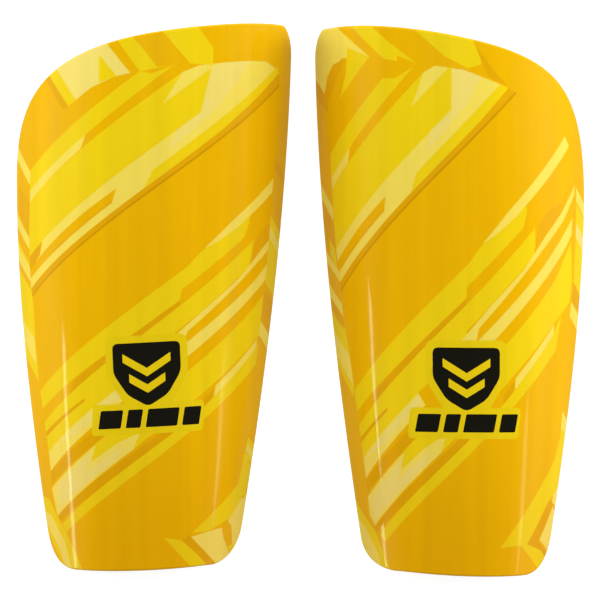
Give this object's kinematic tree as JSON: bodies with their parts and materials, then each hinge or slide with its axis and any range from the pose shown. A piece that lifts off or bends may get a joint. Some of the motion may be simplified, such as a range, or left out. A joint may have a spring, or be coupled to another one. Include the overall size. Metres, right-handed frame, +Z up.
{
  "type": "shin guard",
  "caption": "Pair of slip-in ball-sport shin guards: curved glossy hard shells with a printed film, foam pads and knit linings, lying shell side up.",
  "frame": {"origin": "centre of the pair's footprint on the plane its long edges rest on", "axes": "+X runs across the pair from the left guard to the right guard, +Y along the guards towards the knee end, +Z up out of the hard shells"},
  "size_m": [0.2122, 0.2046, 0.0333],
  "materials": {
    "shell": "gloss",
    "film": "gloss",
    "adhesive": "matte",
    "foam": "matte",
    "lining": "matte"
  },
  "bodies": {
    "left_guard": {"left_shell": "shell", "left_graphic_film": "film", "left_adhesive_sheet": "adhesive", "left_foam_pad": "foam", "left_lining": "lining"},
    "right_guard": {"right_shell": "shell", "right_graphic_film": "film", "right_adhesive_sheet": "adhesive", "right_foam_pad": "foam", "right_lining": "lining"}
  },
  "joints": [
    {"name": "right_guard_lift", "type": "slide", "parent": "left_guard", "child": "right_guard", "axis": [0, 0, 1], "range_m": [0, 0.15]}
  ]
}
